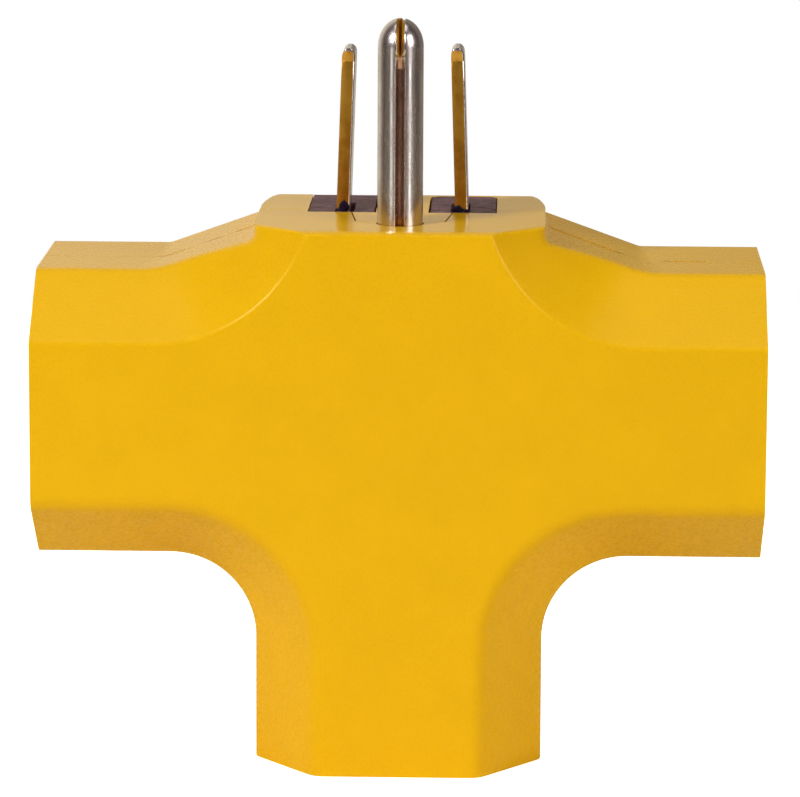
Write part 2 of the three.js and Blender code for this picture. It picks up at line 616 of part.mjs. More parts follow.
// ---- Assembly ----

const root = new THREE.Group();

function place(group, name, made, colour) {
  const mesh = new THREE.Mesh(geometryOf(made), colour);
  mesh.name = name;
  group.add(mesh);
}

for (const { side, at, turn } of OUTLETS) {
  const outlet = new THREE.Group();
  outlet.position.set(...at);
  outlet.rotation.y = turn;
  for (const [name, made, colour] of outletPieces(side)) place(outlet, name, made, colour);
  root.add(outlet);
}

place(root, "front_shell", frontShell(), YELLOW);
place(root, "rear_shell", rearShell(), YELLOW);
place(root, "hot_blade", blade(BLADE_TOE_IN).translate([-BLADE_X, 0, 0]), NICKEL);
place(root, "neutral_blade", blade(-BLADE_TOE_IN).translate([BLADE_X, 0, 0]), NICKEL);
place(root, "ground_pin", groundPin(), NICKEL);
place(root, "hot_strip", liveStrip(-1, HOT_STRIP_Y, HOT_STRIP_Y + STRIP), BRASS);
place(root, "neutral_strip", liveStrip(1, NEUTRAL_STRIP_Y - STRIP, NEUTRAL_STRIP_Y), BRASS);
place(root, "ground_strap", groundStrip(), BRASS);
place(root, "hot_blade_rivet", bladeRivet(-1), NICKEL);
place(root, "neutral_blade_rivet", bladeRivet(1), NICKEL);
place(root, "blade_holder", bladeHolder(), BROWN);
place(root, "pin_bridge", pinBridge(), YELLOW);
place(root, "strip_carrier", stripCarrier(), BROWN);
place(root, "fibre_barrier", fibreBarrier(), FIBRE);

export default root;
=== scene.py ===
"""Looks of a three-outlet grounded tap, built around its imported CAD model.

Shapes are worked out in millimetres, in the CAD frame: X along the side arms, Y from front to back, Z up the blades.
"""

import math

import bmesh
import bpy
from mathutils import Matrix, Vector, noise


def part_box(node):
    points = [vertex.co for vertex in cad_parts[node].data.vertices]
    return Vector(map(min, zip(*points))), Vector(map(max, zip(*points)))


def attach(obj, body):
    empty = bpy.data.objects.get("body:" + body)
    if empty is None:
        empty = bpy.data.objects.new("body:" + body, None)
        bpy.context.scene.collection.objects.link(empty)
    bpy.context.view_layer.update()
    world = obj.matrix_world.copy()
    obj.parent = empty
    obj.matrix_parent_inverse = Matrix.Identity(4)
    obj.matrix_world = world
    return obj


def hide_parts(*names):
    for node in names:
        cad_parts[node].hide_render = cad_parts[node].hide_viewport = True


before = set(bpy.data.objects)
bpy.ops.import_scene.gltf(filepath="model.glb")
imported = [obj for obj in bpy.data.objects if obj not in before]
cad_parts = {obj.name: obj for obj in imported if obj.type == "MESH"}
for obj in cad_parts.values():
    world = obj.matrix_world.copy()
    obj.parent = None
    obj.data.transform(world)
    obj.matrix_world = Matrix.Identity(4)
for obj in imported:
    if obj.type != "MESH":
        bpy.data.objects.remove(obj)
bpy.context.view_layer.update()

MM = 0.001


def corners(node):
    """A CAD node's lowest and highest corners, in millimetres."""
    return [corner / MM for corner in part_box(node)]


# ---- Dimensions, from the frame where a piece's box gives them ----

FRONT_LOW, FRONT_HIGH = corners("front_shell")
HEIGHT = FRONT_HIGH.z
HALF_SPAN = FRONT_HIGH.x
FRONT_Y = FRONT_LOW.y
BACK_Y = corners("rear_shell")[1].y
SEAM_FRONT = FRONT_HIGH.y  # the front shell's edge along the parting line
SEAM_GAP = 0.1
BLOCK_LOW, BLOCK_HIGH = corners("outlet_block_right")
ARM_CENTRE = (BLOCK_LOW.z + BLOCK_HIGH.z) / 2
ARM_WIDTH = 30.6
ARM_TOP = ARM_CENTRE + ARM_WIDTH / 2
ARM_BOTTOM = ARM_CENTRE - ARM_WIDTH / 2
PLUG_WIDTH = 30.6
BEVEL_INSET = 6.6
BEVEL_DEPTH = 8.3
SHOULDER_Y = FRONT_Y + BEVEL_DEPTH
UPPER_STEEP = 0.97  # the bevel's rise over its run beside the plug block, where it is steepest
LOWER_FILLET = 9.1
UPPER_SWEEP = 16.8
KINK_X = 25.65
KINK_SLOPE = math.radians(19.7)
WALL = 2.2
GROOVE_WALL = 1.2  # what the groove for an outlet block's rib leaves of the wall
GROOVE_FROM = 4.9  # and where it lies, in from the arm's end
GROOVE_TO = 7.1
PLUG_WALL = 3.0
BEVEL_TILT = math.atan2(BEVEL_INSET, BEVEL_DEPTH)

PIN_LOW, PIN_HIGH = corners("ground_pin")
PIN_Y = (PIN_LOW.y + PIN_HIGH.y) / 2
PIN_TOP = PIN_HIGH.z
PIN_RADIUS = 2.4
BLADE_LOW, BLADE_HIGH = corners("neutral_blade")
BLADE_Y = (BLADE_LOW.y + BLADE_HIGH.y) / 2
BLADE_TIP = BLADE_HIGH.z
BLADE_X = 6.35
BLADE_HALF = 0.7081  # half a blade's thickness
BLADE_WIDTH = 6.35
BLADE_TOE_IN = 0.58
HOLDER_TOP = corners("blade_holder")[1].z
WINDOW_INNER = 2.9
WINDOW_OUTER = 10.1
WINDOW_FRONT = BLADE_Y - 3.9
NOTCH_DEPTH = 2.5
WINDOW_RIM = 0.8
WINDOW_CORNER = 0.7
BRIDGE_BACK = 5.4
BRIDGE_FRONT = 4.75
BRIDGE_FRONT_Y = PIN_Y + 1.45
BRIDGE_NOSE = 2.1
BRIDGE_PLAY = 0.07
PIN_PLAY = 0.15


# ---- Node helpers ----

class Nodes:
    """A short way to write a material's node tree."""

    def __init__(self, tree):
        self.tree = tree

    def add(self, kind, inputs=None, **settings):
        node = self.tree.nodes.new(kind)
        for name, value in settings.items():
            setattr(node, name, value)
        for key, value in (inputs or {}).items():
            self.put(node.inputs[key], value)
        return node

    def put(self, socket, value):
        if isinstance(value, bpy.types.NodeSocket):
            self.tree.links.new(value, socket)
        else:
            socket.default_value = value

    def math(self, operation, a, b=0.0):
        return self.add("ShaderNodeMath", {0: a, 1: b}, operation=operation).outputs[0]

    def ramp(self, factor, low, high, to_low=0.0, to_high=1.0, smooth=True):
        kind = "SMOOTHSTEP" if smooth else "LINEAR"
        inputs = {"Value": factor, "From Min": low, "From Max": high, "To Min": to_low, "To Max": to_high}
        return self.add("ShaderNodeMapRange", inputs, interpolation_type=kind).outputs["Result"]

    def blend(self, factor, first, second, mode="MIX"):
        node = self.add("ShaderNodeMix", data_type="RGBA", blend_type=mode)
        for key, value in ((0, factor), (6, first), (7, second)):
            self.put(node.inputs[key], value)
        return node.outputs[2]

    def noise(self, vector, scale, detail=2.0, roughness=0.5):
        inputs = {"Vector": vector, "Scale": scale, "Detail": detail, "Roughness": roughness}
        return self.add("ShaderNodeTexNoise", inputs).outputs["Fac"]

    def bump(self, height, distance, strength):
        inputs = {"Height": height, "Distance": distance, "Strength": strength}
        return self.add("ShaderNodeBump", inputs).outputs["Normal"]

    def camera_sees(self, seen, other):
        """One shader where the camera looks straight at it, another for every other ray."""
        straight = self.add("ShaderNodeLightPath").outputs["Is Camera Ray"]
        return self.add("ShaderNodeMixShader", {0: straight, 1: other, 2: seen}).outputs[0]


def emptied(owner):
    """The nodes helper of a material's or a world's tree, with the tree emptied."""
    owner.use_nodes = True
    owner.node_tree.nodes.clear()
    return Nodes(owner.node_tree)


def new_material(name):
    """A material, its nodes helper, its shader and its object coordinates."""
    material = bpy.data.materials.new(name)
    nodes = emptied(material)
    shader = nodes.add("ShaderNodeBsdfPrincipled")
    output = nodes.add("ShaderNodeOutputMaterial")
    nodes.put(output.inputs["Surface"], shader.outputs["BSDF"])
    position = nodes.add("ShaderNodeTexCoord").outputs["Object"]
    return material, nodes, shader, position


def grey(value):
    return (value, value, value, 1.0)


# ---- Materials ----

YELLOW = (0.885, 0.49, 0.004, 1.0)
YELLOW_SHEEN = (1.0, 0.8, 0.35, 1.0)  # tint of the plastic's reflection seen straight on


def yellow_plastic(name, gloss, uneven, grain_depth):
    """Moulded yellow plastic: a fine spark-eroded texture with bright specks, slow mottling and faint flow marks."""
    material, nodes, shader, position = new_material(name)
    mottle = nodes.noise(position, 160.0, 3.0)
    grain = nodes.noise(position, 2600.0, 3.0, 0.62)
    pits = nodes.noise(position, 1100.0, 2.0)
    shade = nodes.ramp(mottle, 0.3, 0.7, 0.985, 1.01)
    shade = nodes.add("ShaderNodeCombineColor", {0: shade, 1: shade, 2: shade}).outputs[0]
    tone = nodes.blend(1.0, YELLOW, shade, "MULTIPLY")
    specks = nodes.ramp(grain, 0.66, 0.8, 0.0, 0.3)
    tone = nodes.blend(specks, tone, (0.95, 0.6, 0.05, 1.0))
    nodes.put(shader.inputs["Base Color"], tone)
    rough = nodes.ramp(grain, 0.25, 0.75, gloss - uneven, gloss + uneven)
    nodes.put(shader.inputs["Roughness"], nodes.math("ADD", rough, nodes.math("MULTIPLY", mottle, 0.04)))
    height = nodes.math("ADD", grain, nodes.math("MULTIPLY", pits, 0.7))
    nodes.put(shader.inputs["Normal"], nodes.bump(height, grain_depth, 0.9))
    shader.inputs["IOR"].default_value = 1.46
    shader.inputs["Specular IOR Level"].default_value = 0.35
    shader.inputs["Specular Tint"].default_value = YELLOW_SHEEN
    return material


def brown_plastic():
    """Dark phenolic-like plastic, dull and mottled, with pale rub marks and a few dark scores."""
    material, nodes, shader, position = new_material("brown_plastic")
    cloud = nodes.noise(position, 900.0, 4.0, 0.62)
    fine = nodes.noise(position, 3600.0, 2.0)
    place = nodes.add("ShaderNodeMapping", {"Vector": position, "Rotation": (0.0, 0.0, 0.5), "Scale": (0.5, 1.6, 1.0)})
    cells = nodes.add("ShaderNodeTexVoronoi", {"Vector": place.outputs[0], "Scale": 300.0},
                      feature="DISTANCE_TO_EDGE")
    line = nodes.ramp(cells.outputs["Distance"], 0.0, 0.1, 1.0, 0.0)
    wide_cloud = nodes.noise(position, 260.0, 2.0)
    worn = nodes.math("MULTIPLY", nodes.ramp(fine, 0.52, 0.68), nodes.ramp(cloud, 0.45, 0.62))
    scored = nodes.math("MULTIPLY", line, nodes.ramp(wide_cloud, 0.47, 0.52))
    tone = nodes.blend(nodes.ramp(cloud, 0.3, 0.7), (0.085, 0.027, 0.032, 1.0), (0.2, 0.095, 0.105, 1.0))
    tone = nodes.blend(nodes.math("MULTIPLY", worn, 0.5), tone, (0.36, 0.27, 0.3, 1.0))
    tone = nodes.blend(nodes.math("MULTIPLY", scored, 0.85), tone, (0.02, 0.006, 0.008, 1.0))
    nodes.put(shader.inputs["Base Color"], tone)
    nodes.put(shader.inputs["Roughness"], nodes.ramp(cloud, 0.3, 0.7, 0.42, 0.6))
    nodes.put(shader.inputs["Normal"], nodes.bump(nodes.math("SUBTRACT", fine, scored), 0.00003, 0.7))
    shader.inputs["Specular IOR Level"].default_value = 0.12
    return material


def metal(name, colour, dull, rough):
    """A plated or rolled metal: fine lines drawn along Z, and tarnish in clouds."""
    material, nodes, shader, position = new_material(name)
    drawn = nodes.add("ShaderNodeMapping", {"Vector": position, "Scale": (1.0, 1.0, 0.06)}).outputs[0]
    lines = nodes.noise(drawn, 3000.0, 3.0, 0.6)
    cloud = nodes.noise(position, 330.0, 3.0, 0.55)
    tone = nodes.blend(nodes.ramp(cloud, 0.35, 0.72), colour, dull)
    tone = nodes.blend(nodes.ramp(lines, 0.52, 0.8, 0.0, 0.2), tone, dull)
    nodes.put(shader.inputs["Base Color"], tone)
    rubbed = nodes.math("ADD", lines, cloud)
    nodes.put(shader.inputs["Roughness"], nodes.ramp(rubbed, 0.7, 1.3, rough - 0.03, rough + 0.05))
    nodes.put(shader.inputs["Normal"], nodes.bump(lines, 0.000002, 0.8))
    shader.inputs["Metallic"].default_value = 1.0
    return material


def dark_lumps_and_shade():
    """Almost black and lumpy: used for the lumps at the blades' feet, and for painted shade round the blades' feet and
    along the holder's rear top edge.
    """
    material, nodes, shader, position = new_material("dark_lumps_and_shade")
    lumps = nodes.noise(position, 1800.0, 3.0)
    tone = nodes.blend(nodes.ramp(lumps, 0.35, 0.7), (0.006, 0.002, 0.014, 1.0), (0.016, 0.006, 0.034, 1.0))
    nodes.put(shader.inputs["Base Color"], tone)
    nodes.put(shader.inputs["Roughness"], nodes.ramp(lumps, 0.3, 0.7, 0.3, 0.5))
    nodes.put(shader.inputs["Normal"], nodes.bump(lumps, 0.00006, 0.9))
    shader.inputs["Specular IOR Level"].default_value = 0.12
    return material


def fibre_sheet():
    """Pressed grey insulating sheet, matted with short fibres."""
    material, nodes, shader, position = new_material("grey_fibre")
    fibres = nodes.add("ShaderNodeTexVoronoi", {"Vector": position, "Scale": 1500.0}).outputs["Distance"]
    cloud = nodes.noise(position, 500.0, 4.0, 0.6)
    tone = nodes.blend(nodes.ramp(cloud, 0.3, 0.7), (0.12, 0.125, 0.13, 1.0), (0.2, 0.205, 0.21, 1.0))
    nodes.put(shader.inputs["Base Color"], tone)
    nodes.put(shader.inputs["Roughness"], nodes.ramp(fibres, 0.0, 0.8, 0.7, 0.9))
    nodes.put(shader.inputs["Normal"], nodes.bump(nodes.math("ADD", fibres, cloud), 0.00004, 0.8))
    return material


SHELL = yellow_plastic("yellow_shell", 0.26, 0.04, 0.0000035)
POLISHED = yellow_plastic("yellow_plug_face", 0.19, 0.01, 0.0000004)
FACE = yellow_plastic("yellow_outlet_face", 0.34, 0.05, 0.00001)
BROWN = brown_plastic()
NICKEL = metal("nickel_plate", (0.74, 0.68, 0.66, 1.0), (0.58, 0.5, 0.49, 1.0), 0.24)
BRASS = metal("bare_brass", (0.66, 0.35, 0.05, 1.0), (0.42, 0.19, 0.022, 1.0), 0.4)
WORN = metal("worn_plate", (0.54, 0.34, 0.28, 1.0), (0.36, 0.2, 0.16, 1.0), 0.24)
FIBRE = fibre_sheet()
DARK_LUMPS_AND_SHADE = dark_lumps_and_shade()


# ---- Mesh helpers ----

def clamped(value):
    return min(1.0, max(0.0, value))


def arc(cx, cz, radius, start, end, steps):
    """Points of an arc about (cx, cz), from one angle to another in degrees."""
    angles = [math.radians(start + (end - start) * i / steps) for i in range(steps + 1)]
    return [(cx + radius * math.cos(a), cz + radius * math.sin(a)) for a in angles]


def line(first, last, steps):
    """Points between two, both ends included."""
    return [tuple(a + (b - a) * i / steps for a, b in zip(first, last)) for i in range(steps + 1)]


def mirrored(half):
    """A right half's points made into the closed outline, anticlockwise seen from the front."""
    return half + [(-x, z) for x, z in reversed(half)]


def loft_mesh(bm, rings):
    """A closed skin through matching rings of (x, y, z), from the back ring to the front one."""
    loops = [[bm.verts.new(Vector(p) * MM) for p in ring] for ring in rings]
    count = len(loops[0])
    for back, front in zip(loops, loops[1:]):
        for i in range(count):
            j = (i + 1) % count
            bm.faces.new((back[i], back[j], front[j], front[i]))
    bm.faces.new(list(reversed(loops[0])))
    bm.faces.new(loops[-1])


def to_object(name, bm):
    bm.normal_update()
    mesh = bpy.data.meshes.new(name)
    bm.to_mesh(mesh)
    bm.free()
    made = bpy.data.objects.new(name, mesh)
    bpy.context.scene.collection.objects.link(made)
    return made


def boxed(low, high):
    """A closed box between two corners, in a mesh of its own."""
    (x0, y0, z0), (x1, y1, z1) = low, high
    bm = bmesh.new()
    loft_mesh(bm, [[(x0, y, z0), (x1, y, z0), (x1, y, z1), (x0, y, z1)] for y in (y1, y0)])
    return bm


def prism(points, z0, z1):
    """A closed prism: a plan outline in X and Y, anticlockwise from above, between two heights."""
    bm = bmesh.new()
    loft_mesh(bm, [[(x, y, z) for x, y in points] for z in (z0, z1)])
    return bm


def carved(base, cutters):
    """base with every cutter taken away from it in turn, and the cutters removed."""
    for cutter in cutters:
        modifier = base.modifiers.new("cut", "BOOLEAN")
        modifier.operation = "DIFFERENCE"
        modifier.solver = "EXACT"
        modifier.object = cutter
    bpy.context.view_layer.update()
    made = bpy.data.meshes.new_from_object(base.evaluated_get(bpy.context.evaluated_depsgraph_get()))
    base.modifiers.clear()
    base.data = made
    for cutter in cutters:
        bpy.data.objects.remove(cutter)
    return base


def rounded(piece, width, segments, angle=28.0, chosen=None):
    """Rounds a piece's sharp edges: all those over an angle, or those that chosen(edge) gives a share of the width."""
    bm = bmesh.new()
    bm.from_mesh(piece.data)
    weights = bm.edges.layers.float.get("bevel_weight_edge") or bm.edges.layers.float.new("bevel_weight_edge")
    limit = math.radians(angle)
    for edge in bm.edges:
        sharp = len(edge.link_faces) == 2 and edge.calc_face_angle(0.0) > limit
        edge[weights] = (1.0 if chosen is None else chosen(edge)) if sharp else 0.0
    bm.to_mesh(piece.data)
    bm.free()
    modifier = piece.modifiers.new("rounded_edges", "BEVEL")
    modifier.limit_method = "WEIGHT"
    modifier.width = width * MM
    modifier.segments = segments
    modifier.use_clamp_overlap = True
    modifier.miter_outer = "MITER_ARC"
    return piece


def dressed(piece, *materials, smooth_angle=35.0):
    """Materials and shading for a finished mesh."""
    piece.data.materials.clear()
    for material in materials:
        piece.data.materials.append(material)
    piece.data.shade_smooth()
    piece.data.set_sharp_from_angle(angle=math.radians(smooth_angle))
    modifier = piece.modifiers.new("even_shading", "WEIGHTED_NORMAL")
    modifier.keep_sharp = True
    modifier.weight = 90
    return piece


def painted(piece, choose):
    """Gives each face the material whose number choose(centre, normal) returns, centre in millimetres."""
    for face in piece.data.polygons:
        face.material_index = choose(face.center / MM, face.normal)
    return piece


def mounted(piece, node):
    """The piece rides on the tap's one body in place of its CAD node."""
    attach(piece, "root")
    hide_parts(node)
    return piece


# ---- Body ----

FILLET_STEPS = 22
SLANT_STEPS = 22
SIDE_STEPS = 3
RIM_STEPS = 10
ARM_STEPS = 16
UPPER_EDGE, LOWER_EDGE = 0.36, 1.1  # where the front face turns into the bevel
SHOULDER_ROUND, PLUG_ROUND = 0.7, 1.1  # where the bevel turns into an arm's wall, and into the plug block's
FOOT_FILLET = 0.9  # where the plug block's side meets the rise of the arm's top
SHELL_ROUND = 0.7  # round the plug face
OPENING_SHARE, END_SHARE = 0.13, 0.5  # of that, round the plug face's openings and at the arms' ends
BACK_ROUND = 0.8
CORNER_DEPTH = 8.5  # how far forward the plug block's rounded rear corners reach
CORNER_INSET = 1.1
LIP = 0.9  # bevel left where the front face's sweep meets the plug face
BACK_KINK, FRONT_KINK = 0.3, 1.9  # half the length over which a side arm's top turns into the rise
LOWER_CENTRE = (ARM_WIDTH / 2 + LOWER_FILLET, ARM_BOTTOM - LOWER_FILLET)
UPPER_CENTRE = (KINK_X, ARM_CENTRE + ARM_WIDTH / 2 - BEVEL_INSET + UPPER_SWEEP)


def face_inset(inset):
    """How far the front face's outline moves in when the body is set in by a distance."""
    return inset * math.tan((math.pi / 2 - BEVEL_TILT) / 2)


def wall_outline(inset, span, top, bottom, tuck=0.0, kink=BACK_KINK):
    """The side walls' outline, set in by a distance; tuck narrows the plug block alone."""
    side = PLUG_WIDTH / 2 - inset - tuck

    def slant(x):
        return ARM_TOP + (KINK_X - x) * math.tan(KINK_SLOPE) - inset / math.cos(KINK_SLOPE)

    kink_x = KINK_X - inset * math.tan(KINK_SLOPE / 2)
    before, after = (kink_x + kink, ARM_TOP - inset), (kink_x - kink, slant(kink_x - kink))
    turn = [bezier(before, (kink_x, ARM_TOP - inset), after, t / 6) for t in range(7)]
    foot, reach = (side, slant(side)), FOOT_FILLET
    fillet = [bezier((side + reach, slant(side + reach)), foot, (side, foot[1] + reach), t / 5) for t in range(6)]
    sweep = UPPER_SWEEP + face_inset(inset) - LIP
    rim = UPPER_CENTRE[0] - math.sqrt(sweep ** 2 - (UPPER_CENTRE[1] - top) ** 2)
    return mirrored([
        (ARM_WIDTH / 2 - inset, bottom),
        *arc(*LOWER_CENTRE, LOWER_FILLET + inset, 180, 90, FILLET_STEPS),
        (span, ARM_BOTTOM + inset),
        *line((span, ARM_TOP - inset), before, ARM_STEPS),
        *turn[1:],
        *line(after, fillet[0], SLANT_STEPS)[1:],
        *fillet[1:],
        *line(fillet[-1], (side, top), SIDE_STEPS)[1:],
        *line((side, top), (rim, top), RIM_STEPS)[1:],
    ])


def foot_of(point, inset):
    """The point of the front face's outline nearest a point of the side walls' outline."""
    x, z = point
    side, across = math.copysign(1.0, x), abs(x)
    half = ARM_WIDTH / 2 - BEVEL_INSET - inset
    upper = z > ARM_CENTRE
    cx, cz = UPPER_CENTRE if upper else LOWER_CENTRE
    if across >= cx:
        return x, ARM_CENTRE + (half if upper else -half)
    if not upper and z <= cz:
        return side * half, z
    radius = (UPPER_SWEEP if upper else LOWER_FILLET + BEVEL_INSET) + inset
    scale = radius / math.hypot(across - cx, z - cz)
    return side * (cx + (across - cx) * scale), cz + (z - cz) * scale


def bevel_rise(point):
    """The bevel's rise over its run: the arms' own, easing to a steeper one beside the plug block."""
    x, z = point
    arm = BEVEL_DEPTH / BEVEL_INSET
    if z < ARM_CENTRE:
        return arm
    share = clamped((KINK_X - abs(x)) / (KINK_X - PLUG_WIDTH / 2))
    return arm + (UPPER_STEEP - arm) * share * share * (3 - 2 * share)


def bezier(a, b, c, t):
    """A point on the quadratic curve from a to c with control point b."""
    return tuple((1 - t) ** 2 * p + 2 * t * (1 - t) * q + t * t * r for p, q, r in zip(a, b, c))


def at_depth(outline, y):
    return [(x, y, z) for x, z in outline]


ENDS = {"span": HALF_SPAN, "top": HEIGHT, "bottom": 0.0}
OPEN_ENDS = {"span": HALF_SPAN + 1, "top": HEIGHT - PLUG_WALL, "bottom": -1.0}


def bevel_line(point):
    """The bevel from one point of the side walls' outline to the front face, rounded at both ends."""
    x, z = point
    foot = foot_of(point, 0.0)
    run = math.hypot(x - foot[0], z - foot[1])
    shoulder = (x, FRONT_Y + run * bevel_rise(point), z)
    edge = (foot[0], FRONT_Y, foot[1])
    length = math.dist(shoulder, edge)
    edge_round = UPPER_EDGE if z > ARM_CENTRE else LOWER_EDGE
    steep = clamped((z - ARM_TOP - 2.2) / 1.2)
    shoulder_round = SHOULDER_ROUND + (PLUG_ROUND - SHOULDER_ROUND) * steep
    near, far = min(shoulder_round, 0.4 * length), min(edge_round, 0.45 * length)
    start = (x, shoulder[1] + near, z)
    leave, reach = [tuple(a + (b - a) * t for a, b in zip(shoulder, edge)) for t in (near / length, 1 - far / length)]
    inner = foot_of(point, far)
    made = [bezier(start, shoulder, leave, t / 4) for t in range(5)]
    made += [tuple(a + (b - a) * t / 7 for a, b in zip(leave, reach)) for t in range(1, 7)]
    return made + [bezier(reach, edge, (inner[0], FRONT_Y, inner[1]), t / 5) for t in range(6)]


# Where the shells' edges stand a little apart along the top: from and to in X, and how far. Each tapers at its ends.
PARTING_TAPER = 0.8
PARTINGS = ((15.4, 23.6, 0.34), (27.5, 33.0, 0.2), (-18.0, -15.4, 0.3), (-20.9, -19.5, 0.22), (-26.4, -23.2, 0.26))


def parting(x, z):
    """How far each shell's edge stands back from the parting line."""
    if z < ARM_TOP - 0.1 or z > HEIGHT - 0.1:
        return 0.0
    shares = [depth * clamped(min(x - low, high - x) / PARTING_TAPER) for low, high, depth in PARTINGS]
    return max(shares)


def seam_ring(outline, y, side):
    return [(x, y + side * parting(x, z), z) for x, z in outline]


def front_rings():
    """The front shell's outer skin, from the parting line to the front face."""
    rings = [seam_ring(wall_outline(0.0, kink=1.0, **ENDS), SEAM_FRONT, -1)]
    rings += [at_depth(wall_outline(0.0, kink=kink, **ENDS), y)
              for y, kink in ((SEAM_FRONT - 1.5, 1.4), (SHOULDER_Y + 2.5, 2.4))]
    lines = [bevel_line(point) for point in wall_outline(0.0, kink=FRONT_KINK, **ENDS)]
    return rings + [list(ring) for ring in zip(*lines)]


def rear_rings():
    """The rear shell's outer skin, from the back to the parting line."""
    rings = []
    for step in range(5):
        turn = math.radians(90 * (1 - step / 4))
        inset, y = BACK_ROUND * (1 - math.cos(turn)), BACK_Y - BACK_ROUND * (1 - math.sin(turn))
        rings.append(at_depth(wall_outline(inset, tuck=CORNER_INSET, **ENDS), y))
    steps = 8
    for step in range(1, steps + 1):
        y = BACK_Y - BACK_ROUND - (CORNER_DEPTH - BACK_ROUND) * step / steps
        share = (BACK_Y - y) / CORNER_DEPTH
        kink = BACK_KINK + (1.0 - BACK_KINK) * share
        rings.append(at_depth(wall_outline(0.0, tuck=CORNER_INSET * (1 - share) ** 1.6, kink=kink, **ENDS), y))
    rings.append(seam_ring(wall_outline(0.0, kink=1.0, **ENDS), SEAM_FRONT + SEAM_GAP, 1))
    return rings


def hollow():
    """The room inside the two shells, as a solid to cut away."""
    wall = wall_outline(WALL, **OPEN_ENDS)
    feet = [foot_of(point, face_inset(WALL)) for point in wall]
    bm = bmesh.new()
    loft_mesh(bm, [
        at_depth(wall, BACK_Y - WALL),
        [(x, FRONT_Y + WALL + math.dist((x, z), foot) * bevel_rise((x, z)), z) for (x, z), foot in zip(wall, feet)],
        at_depth(feet, FRONT_Y + WALL),
    ])
    return to_object("hollow", bm)


def left_window(back, z0, z1):
    return boxed((-WINDOW_OUTER, WINDOW_FRONT, z0), (-WINDOW_INNER, back, z1))


def right_window(back, z0, z1):
    """The right window, closed behind and with its rear corners cut."""
    inner, outer, corner = WINDOW_INNER, WINDOW_OUTER, WINDOW_CORNER
    return prism([(inner, WINDOW_FRONT), (outer, WINDOW_FRONT), (outer, back - corner), (outer - corner, back),
                  (inner + corner, back), (inner, back - corner)], z0, z1)


def bridge_plan(play, back):
    """The bridge's plan, made smaller by play: round the ground pin, then back between the windows."""
    strip, wide, narrow = WINDOW_INNER - play, BRIDGE_BACK - play, BRIDGE_FRONT - play
    shoulder = WINDOW_FRONT - play
    nose = (BRIDGE_NOSE, PIN_Y + 0.2 + play)
    half = [nose, (narrow, BRIDGE_FRONT_Y + play), (wide, shoulder), (strip, shoulder), (strip, back)]
    return half + [(-x, y) for x, y in reversed(half)]


def ring_plan(radius, y, count=48):
    return [(radius * math.cos(2 * math.pi * i / count), y + radius * math.sin(2 * math.pi * i / count))
            for i in range(count)]


def plug_openings():
    """What the shells leave open in the plug face and the back edge."""
    floor, over = HEIGHT - PLUG_WALL - 1.1, HEIGHT + 1  # from well inside the hollow to above the face
    notch_floor = HEIGHT - NOTCH_DEPTH
    tools = [left_window(BACK_Y + 1, notch_floor, over), left_window(BACK_Y - WALL, floor, over)]
    tools += [right_window(BACK_Y - WINDOW_RIM, notch_floor, over), right_window(BACK_Y - WALL, floor, over)]
    tools.append(prism(bridge_plan(-BRIDGE_PLAY, BACK_Y - WALL), floor, over))
    tools.append(prism(ring_plan(PIN_RADIUS + PIN_PLAY, PIN_Y), floor, over))
    return [to_object(f"opening_{i}", bm) for i, bm in enumerate(tools)]


def shell_share(edge):
    """An edge's share of a shell's rounding: whole round the plug face, less at its openings and the arms' ends."""
    a, b = [vert.co / MM for vert in edge.verts]
    near = 0.01
    if abs(a.z - HEIGHT) < near and abs(b.z - HEIGHT) < near:
        inside = all(abs(p.x) < WINDOW_OUTER + 0.5 and p.y > PIN_Y - PIN_RADIUS - 0.5 for p in (a, b))
        return OPENING_SHARE if inside else 1.0
    at_end = all(abs(abs(p.x) - HALF_SPAN) < near for p in (a, b)) or all(abs(p.z) < near for p in (a, b))
    return END_SHARE if at_end else 0.0


def arm_section(inset):
    """The bottom arm's section, set in by a distance."""
    half = ARM_WIDTH / 2 - inset
    flat = ARM_WIDTH / 2 - BEVEL_INSET - face_inset(inset)
    shoulder = SHOULDER_Y + inset * math.tan(BEVEL_TILT / 2)
    back, front = BACK_Y - inset, FRONT_Y + inset
    return [(half, shoulder), (half, back), (-half, back), (-half, shoulder), (-flat, front), (flat, front)]


def rib_grooves():
    """The grooves inside the shells that hold the outlet blocks' ribs."""
    tools = []
    for x, z, turn in ((0, 0, 0), (-HALF_SPAN, ARM_CENTRE, 90), (HALF_SPAN, ARM_CENTRE, -90)):
        bm = prism(arm_section(GROOVE_WALL), GROOVE_FROM, GROOVE_TO)
        bm.transform(Matrix.Translation((x * MM, 0, z * MM)) @ Matrix.Rotation(math.radians(turn), 4, "Y"))
        tools.append(to_object("groove", bm))
    return tools


def shell(name, rings):
    bm = bmesh.new()
    loft_mesh(bm, rings)
    piece = carved(to_object(name, bm), [*rib_grooves(), hollow(), *plug_openings()])
    rounded(piece, SHELL_ROUND, 4, chosen=shell_share)
    dressed(piece, SHELL, POLISHED)
    painted(piece, lambda centre, normal: int(normal.z > 0.95 and centre.z > HEIGHT - 0.1))
    return mounted(piece, name.replace("moulded_", ""))


shell("moulded_front_shell", front_rings())
shell("moulded_rear_shell", rear_rings())


# ---- The rest of the pieces ----

MERGE = 0.002 * MM
FLAT_ANGLE = math.radians(0.6)


